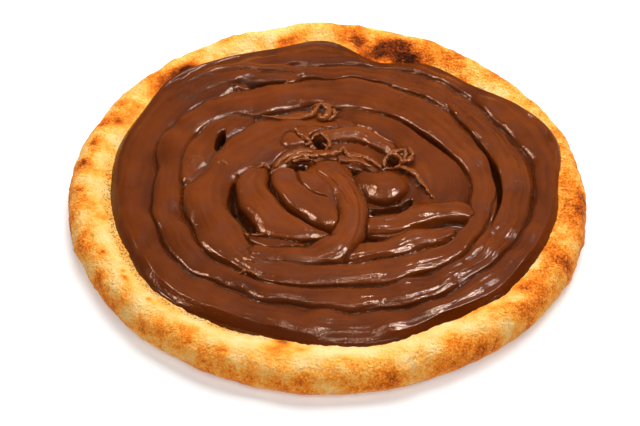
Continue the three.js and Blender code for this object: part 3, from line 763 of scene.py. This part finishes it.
# painted shade: the higher the spread stands, the lighter it is coloured, and the lower, the
# darker, as light from above would fall
thickness = product(tree, maths(tree, "SUBTRACT", height, 9.8 * mm), 0.26 / mm)
lines = product(tree, maths(tree, "SUBTRACT", streaks(tree, flow, 1.7, 30, 2.0), 0.5), 0.7)
tone_and_height_shade = total(tree, 0.5, thickness, lines, unevenness(tree, place, 14, 0.8, 2),
              unevenness(tree, place, 2.5, 0.35, 2))
crease_shade_mask = marked(tree, "crease_shade")
colour = ramp(tree, tone_and_height_shade, [(0.1, (0.086, 0.0150, 0.0010)), (0.9, (0.188, 0.0365, 0.0024))])
colour = mixed(tree, marked(tree, "thin"), colour, (0.22, 0.056, 0.009, 1))
# painted shade: creases and cuts are coloured near black; there the spread is also rougher and less
# glossy
colour = mixed(tree, crease_shade_mask, colour, (0.018, 0.0045, 0.001, 1))
tree.links.new(colour, shader.inputs["Base Color"])
tree.links.new(total(tree, product(tree, crease_shade_mask, 0.5), 0.18), shader.inputs["Roughness"])
gloss = product(tree, maths(tree, "SUBTRACT", 1.0, crease_shade_mask), 0.5)
tree.links.new(gloss, shader.inputs["Specular IOR Level"])
combed = marked(tree, "combed")
relief = total(tree, product(tree, unevenness(tree, place, 3.4, 0.60, 1), combed),
               unevenness(tree, place, 0.7, 0.10, 2))
for spacing, run, depth in ((2.6, 45, 0.36), (1.3, 24, 0.32), (0.7, 12, 0.14)):
    line = product(tree, streaks(tree, flow, spacing, run), product(tree, combed, depth))
    relief = total(tree, relief, line)
bump = node(tree, "ShaderNodeBump", {"Height": relief, "Distance": 1 * mm, "Strength": 1.0})
tree.links.new(bump.outputs[0], shader.inputs["Normal"])
spread.data.materials.append(chocolate)
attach(spread, "root")
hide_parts("chocolate_spread")


# ---- The curls ---------------------------------------------------------------------------
# Thin strings, folds and loops of the same spread, drawn out where the knife was lifted off
# in the middle. Each is a tapered round string, bent to its shape and sunk into the spread.
string_top = 11.35         # no string stands higher than this before it is crumpled


def string(points, thickness):
    """A tapered string through points of x, y and height, its thickness a row along it."""
    curve = bpy.data.curves.new("string", "CURVE")
    curve.dimensions = "3D"
    curve.bevel_depth = 0.5 * mm
    curve.bevel_resolution = 3
    curve.resolution_u = 6
    curve.use_fill_caps = True
    line = curve.splines.new("NURBS")
    line.points.add(len(points) - 1)
    line.order_u = 3
    line.use_endpoint_u = True
    share = np.arange(len(points)) / (len(points) - 1)
    for spot, (x, y, z), width in zip(line.points, points, along(thickness, share)):
        spot.co = (x * mm, y * mm, min(z, string_top - width / 2) * mm, 1)
        spot.radius = max(width, 0.1)
    made = bpy.data.objects.new("string", curve)
    bpy.context.scene.collection.objects.link(made)
    return made


strings = [
    # the torn lip behind the middle and the curl it ends in
    string([(-18.1, 26.0, 9.7), (-14.6, 25.1, 9.9), (-10.5, 24.2, 10.0), (-6.3, 24.6, 10.4),
            (-3.9, 26.1, 10.9), (-3.0, 28.6, 10.9), (-2.0, 30.6, 10.8)],
           [0.4, 1.1, 1.4, 1.6, 1.5, 1.2, 0.7]),
    string([(-4.6, 29.2, 10.3), (-2.2, 30.4, 10.7), (-0.2, 29.0, 10.6), (0.3, 26.4, 10.4),
            (-0.8, 24.4, 10.2), (-2.6, 24.6, 10.0), (-2.4, 26.4, 10.4)],
           [0.5, 1.1, 1.6, 2.2, 2.2, 1.6, 0.8]),
    string([(1.2, 28.6, 9.9), (2.2, 26.9, 10.5), (1.6, 24.9, 10.3), (0.2, 24.0, 9.8)],
           [0.5, 1.1, 1.1, 0.7]),
    # the loop at the end of the arch
    string([(15.3, 5.6, 9.2), (15.0, 7.5, 9.8), (16.5, 8.9, 10.5), (18.6, 8.8, 10.8),
            (19.9, 7.0, 10.6), (19.3, 5.1, 10), (17.3, 4.6, 9.4), (15.6, 5.4, 9.2)],
           [0.7, 0.8, 1.1, 1.2, 1.2, 0.9, 0.8, 0.7]),
    string([(16.4, 9.2, 10.4), (17.5, 10.2, 11.0), (19.5, 10.6, 11.0), (21.2, 9.9, 10.8),
            (21.0, 8.0, 10.4), (19.8, 6.6, 10)],
           [0.7, 1.1, 1.2, 1.1, 0.9, 0.7]),
    string([(19.6, 7.0, 10.2), (21.1, 5.9, 10.6), (22.4, 7.4, 10.9), (23.1, 9.6, 10.9),
            (21.9, 12.0, 10.2)],
           [0.8, 1.2, 1.4, 1.2, 0.8]),
    string([(19.2, 5.6, 9.6), (21.0, 3.3, 10.2), (22.5, 2.8, 10.3), (23.9, 0.8, 10.0),
            (25.5, -2.0, 9.6), (27.0, -5.0, 9.3), (28.1, -7.1, 8.9)],
           [0.8, 1.6, 1.2, 1.4, 0.9, 0.5, 0.3]),
    # the rims round the small hole, and the hooks over it
    string([(-4.6, 15.6, 10.0), (-3.4, 17.6, 10.6), (-1.2, 17.2, 10.8), (0.3, 14.8, 10.6),
            (0.4, 12.4, 10), (-1.2, 11.2, 9.6)],
           [0.5, 0.9, 1.2, 1.2, 0.9, 0.7]),
    string([(-8.9, 19.2, 10.6), (-8.0, 17.7, 10.9), (-6.9, 16.7, 10.9), (-5.6, 15.6, 10.8),
            (-4.7, 14.2, 10.6), (-5.4, 13.2, 10.4), (-6.6, 14.2, 10.0)],
           [0.7, 0.9, 1.1, 1.1, 0.9, 0.8, 0.5]),
    string([(-7.6, 18.2, 10.9), (-7.5, 16.9, 10.8), (-6.3, 15.0, 10.4)], [0.5, 0.8, 0.5]),
    # the crumbled ridge behind the heart
    string([(-14.3, 4.7, 9.8), (-13.3, 6.3, 10.3), (-11.3, 8.1, 10.5), (-8.9, 9.7, 10.5),
            (-6.2, 10.5, 10.5), (-4.0, 10.2, 10.2)],
           [0.8, 1.4, 1.9, 2, 1.9, 1.2]),
    string([(-11.6, 6.3, 9.9), (-10.3, 7.5, 10.5), (-7.9, 8.3, 10.7), (-4.9, 8.7, 10.6),
            (-2.6, 8.6, 10.3)],
           [0.8, 1.5, 1.6, 1.6, 1.1]),
    string([(-9.4, 6.8, 10.1), (-7.4, 7.0, 10.6), (-5.0, 7.2, 10.6), (-3.0, 6.4, 10.3)],
           [0.5, 1.1, 1.1, 0.5]),
    string([(-3.2, 9.3, 10.1), (-0.8, 8.7, 10.6), (1.2, 8.9, 10.7), (3.3, 10.1, 10.8),
            (4.3, 11.7, 11.0), (4.6, 10.2, 10.9), (5.4, 8.6, 10.5), (7.3, 7.7, 10)],
           [0.9, 1.6, 1.5, 1.4, 0.8, 1.1, 1.4, 0.9]),
    string([(4.6, 8.6, 10.0), (7.2, 8.8, 10.3), (9.6, 8.2, 10.3), (12.2, 7.0, 10.0),
            (14.2, 5.0, 9.5)],
           [0.9, 1.5, 1.6, 1.4, 0.7]),
    string([(3.4, 7.0, 10.1), (6.0, 6.9, 10.2), (8.8, 6.3, 10.1), (11.4, 5.3, 9.7)],
           [0.7, 1.1, 1.2, 0.7]),
    # flakes by the hook, the left pocket, the lobe and the end of the collar
    string([(-18.8, 4.2, 10.0), (-17.8, 5.0, 10.6), (-16.4, 5.0, 10.6), (-15.8, 3.8, 10)],
           [0.5, 0.9, 0.9, 0.5]),
    string([(-29.8, 6.1, 9.6), (-28.8, 7.0, 10.1), (-27.6, 6.4, 10.2), (-27.0, 5.0, 9.7)],
           [0.5, 1.2, 1.1, 0.5]),
    string([(-22.6, -18.9, 7.8), (-21.0, -19.8, 8.4), (-19.0, -20.4, 8.8), (-16.9, -20.6, 9.2),
            (-15.4, -19.6, 9.4)],
           [0.4, 0.7, 0.6, 0.8, 0.4]),
    string([(-22.6, -35.0, 9.6), (-21.0, -34.4, 10.1), (-19.5, -35.0, 10.2), (-18.2, -35.8, 9.7)],
           [0.4, 0.9, 1.0, 0.5])]
bpy.ops.object.select_all(action="DESELECT")
for piece in strings:
    piece.select_set(True)
bpy.context.view_layer.objects.active = strings[0]
bpy.ops.object.convert(target="MESH")
bpy.ops.object.join()
curls = bpy.context.object
curls.name = "sfiha_curls"
curls.data.name = "sfiha_curls"
bpy.ops.object.shade_smooth()
displaced(curls, "crumple", "CLOUDS", 1.0, 1.3, noise_depth=1)
curls.data.materials.clear()
curls.data.materials.append(chocolate)
mark(curls, "thin", np.ones(len(curls.data.vertices)))
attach(curls, "root")


# ---- Floor, light and camera -------------------------------------------------------------
# A white table that glows a little. An orange lamp on the left, a cool and a warm one on the
# right and one overhead only show in the gloss, and a ceiling and a fill lamp only light what is
# matt. The camera looks down from the front.
bpy.ops.object.select_all(action="DESELECT")
bpy.ops.mesh.primitive_plane_add(size=6)
table = bpy.context.object
table.name = "table"
white, tree, shader = material("white_table", Roughness=0.7, Specular_IOR_Level=0.0)
shader.inputs["Base Color"].default_value = (0.82, 0.85, 0.87, 1)
shader.inputs["Emission Color"].default_value = (1, 1, 1, 1)
shader.inputs["Emission Strength"].default_value = 0.24
table.data.materials.append(white)


def lamp(name, azimuth, elevation, distance, width, height, power, colour, mirrored=True,
         spread=True):
    """A soft lamp aimed at the middle of the table, that gloss mirrors, that spreads, or both."""
    light = bpy.data.lights.new(name, "AREA")
    light.shape = "ELLIPSE"
    light.size, light.size_y = width, height
    light.energy, light.color = power, colour
    holder = bpy.data.objects.new(name, light)
    bpy.context.scene.collection.objects.link(holder)
    a, e = math.radians(azimuth), math.radians(elevation)
    toward = Vector((math.cos(e) * math.cos(a), math.cos(e) * math.sin(a), math.sin(e)))
    holder.location = toward * distance
    holder.rotation_euler = holder.location.to_track_quat("Z", "Y").to_euler()
    holder.visible_glossy = mirrored
    holder.visible_diffuse = spread


lamp("left_lamp", 176, 51, 0.9, 0.36, 0.26, 7.0, (1.0, 0.62, 0.42), spread=False)
lamp("cool_lamp", 8, 60, 0.45, 0.04, 0.08, 0.95, (1.0, 0.80, 0.74), spread=False)
lamp("warm_lamp", 350, 69, 0.45, 0.04, 0.08, 0.95, (1.0, 0.74, 0.52), spread=False)
lamp("top_lamp", 250, 80, 0.45, 0.08, 0.08, 0.30, (1.0, 0.70, 0.50), spread=False)
lamp("ceiling", 72, 62, 0.40, 0.46, 0.34, 2.72, (1.0, 0.98, 0.96), mirrored=False)
lamp("fill", 268, 55, 0.50, 0.40, 0.30, 1.05, (1.0, 0.98, 0.96), mirrored=False)
world = bpy.data.worlds.new("room")
bpy.context.scene.world = world
world.use_nodes = True
tree = world.node_tree
toward = node(tree, "ShaderNodeTexCoord").outputs["Generated"]
sky = node(tree, "ShaderNodeSeparateXYZ", {"Vector": toward})
low = ranged(tree, sky.outputs["Z"], 0.72, 0.40)
back = ranged(tree, sky.outputs["Y"], -0.1, 0.7)
glow = total(tree, product(tree, product(tree, low, back), 0.26), 0.008)
tree.links.new(glow, tree.nodes["Background"].inputs["Strength"])
tree.nodes["Background"].inputs["Color"].default_value = (1.0, 0.74, 0.54, 1)
bpy.context.scene.view_settings.view_transform = "Standard"

elevation = math.radians(43.5)
distance = 3.535 * (bread_high[0] - bread_low[0])
aim = Vector((-0.0156, -0.0198, 0)) * (bread_high[0] - bread_low[0])
camera = bpy.data.objects.new("camera", bpy.data.cameras.new("camera"))
bpy.context.scene.collection.objects.link(camera)
camera.location = aim + Vector((0, -math.cos(elevation), math.sin(elevation))) * distance
camera.rotation_euler = (math.pi / 2 - elevation, 0, 0)
camera.data.sensor_width = 36
camera.data.lens = 102.2
camera.data.clip_start = 0.01
bpy.context.scene.camera = camera
